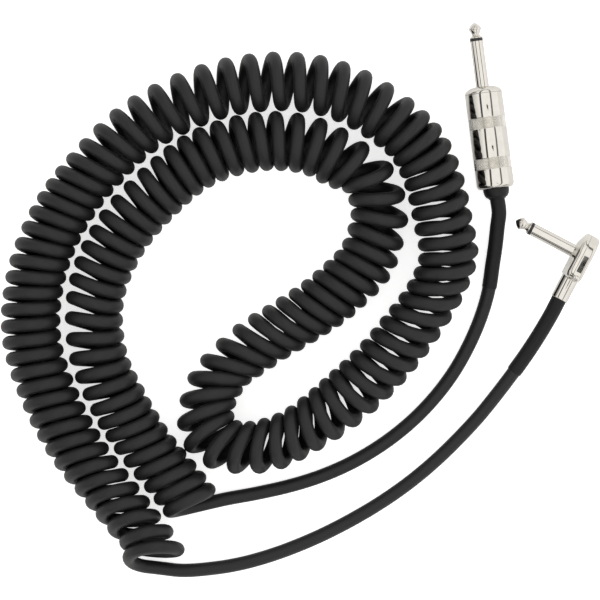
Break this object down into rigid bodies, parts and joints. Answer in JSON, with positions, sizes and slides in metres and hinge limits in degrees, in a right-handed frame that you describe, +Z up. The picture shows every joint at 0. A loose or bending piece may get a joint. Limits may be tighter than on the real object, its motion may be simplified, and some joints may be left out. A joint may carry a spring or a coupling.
{
  "type": "coiled instrument cable",
  "caption": "Black curly instrument cord with a straight jack plug in a knurled metal shell and a flat right-angle jack plug.",
  "frame": {"origin": "on the surface that the cable lies on, under the middle of the box round the two plugs", "axes": "+Z up from the surface; +Y away from the curls' lower end, along which the two plugs reach furthest, the straight plug's nose pointing about +Y; +X from the curly cord towards the right-angle plug"},
  "size_m": [0.2925, 0.2724, 0.0291],
  "materials": {
    "bright_nickel": "bright nickel plate on turned and pressed brass, faintly warm",
    "tip_nickel": "bright nickel plate on a turned brass tip",
    "screw_nickel": "nickel-plated steel pan head",
    "ring_plastic": "moulded black acetal",
    "tube_plastic": "extruded natural nylon tube",
    "fibre_washer": "punched vulcanised fibre",
    "tinned_brass": "tin-plated pressed brass strip",
    "liner_plastic": "translucent polypropylene tube",
    "relief_rubber": "moulded black rubber with a soft sheen",
    "shrink_sleeve": "shrunk black polyolefin, satin, unprinted",
    "cord_jacket": "smooth extruded charcoal-black jacket with a soft satin sheen",
    "core_insulation": "extruded white insulation",
    "bare_copper": "stranded bare copper"
  },
  "bodies": {
    "cable": {"straight_tip": "tip_nickel", "straight_tip_insulator": "ring_plastic", "straight_core_tube": "tube_plastic", "straight_barrel": "bright_nickel", "straight_rear_washer": "fibre_washer", "straight_tip_lug": "tinned_brass", "straight_cable_clamp": "tinned_brass", "straight_sleeve": "shrink_sleeve", "straight_shield_pigtail": "bare_copper", "straight_core_insulation": "core_insulation", "straight_core_wire": "bare_copper", "angle_tip": "tip_nickel", "angle_tip_insulator": "ring_plastic", "angle_core_tube": "tube_plastic", "angle_barrel": "bright_nickel", "angle_base": "bright_nickel", "angle_cover": "bright_nickel", "angle_cover_screw": "screw_nickel", "angle_rear_washer": "fibre_washer", "angle_tip_lug": "tinned_brass", "angle_cable_clamp": "tinned_brass", "angle_sleeve": "shrink_sleeve", "angle_shield_pigtail": "bare_copper", "angle_core_insulation": "core_insulation", "angle_core_wire": "bare_copper", "straight_tail": "cord_jacket", "curly_cord": "cord_jacket", "angle_tail": "cord_jacket"},
    "strain_relief": {"straight_liner": "liner_plastic", "straight_strain_relief": "relief_rubber"},
    "shell": {"straight_shell": "bright_nickel"}
  },
  "joints": [
    {"name": "shell_travel", "type": "slide", "parent": "cable", "child": "strain_relief", "axis": [0.1305, -0.9914, 0], "range_m": [0, 0.006]},
    {"name": "shell_turn", "type": "hinge", "parent": "strain_relief", "child": "shell", "pos_m": [-0.02047, 0.01179, 0.0092], "axis": [0.1305, -0.9914, 0], "range_deg": [0, 2160]}
  ],
  "couplings": [
    {"joint": "shell_travel", "follows": "shell_turn", "m_per_rad": 0.00015915}
  ]
}
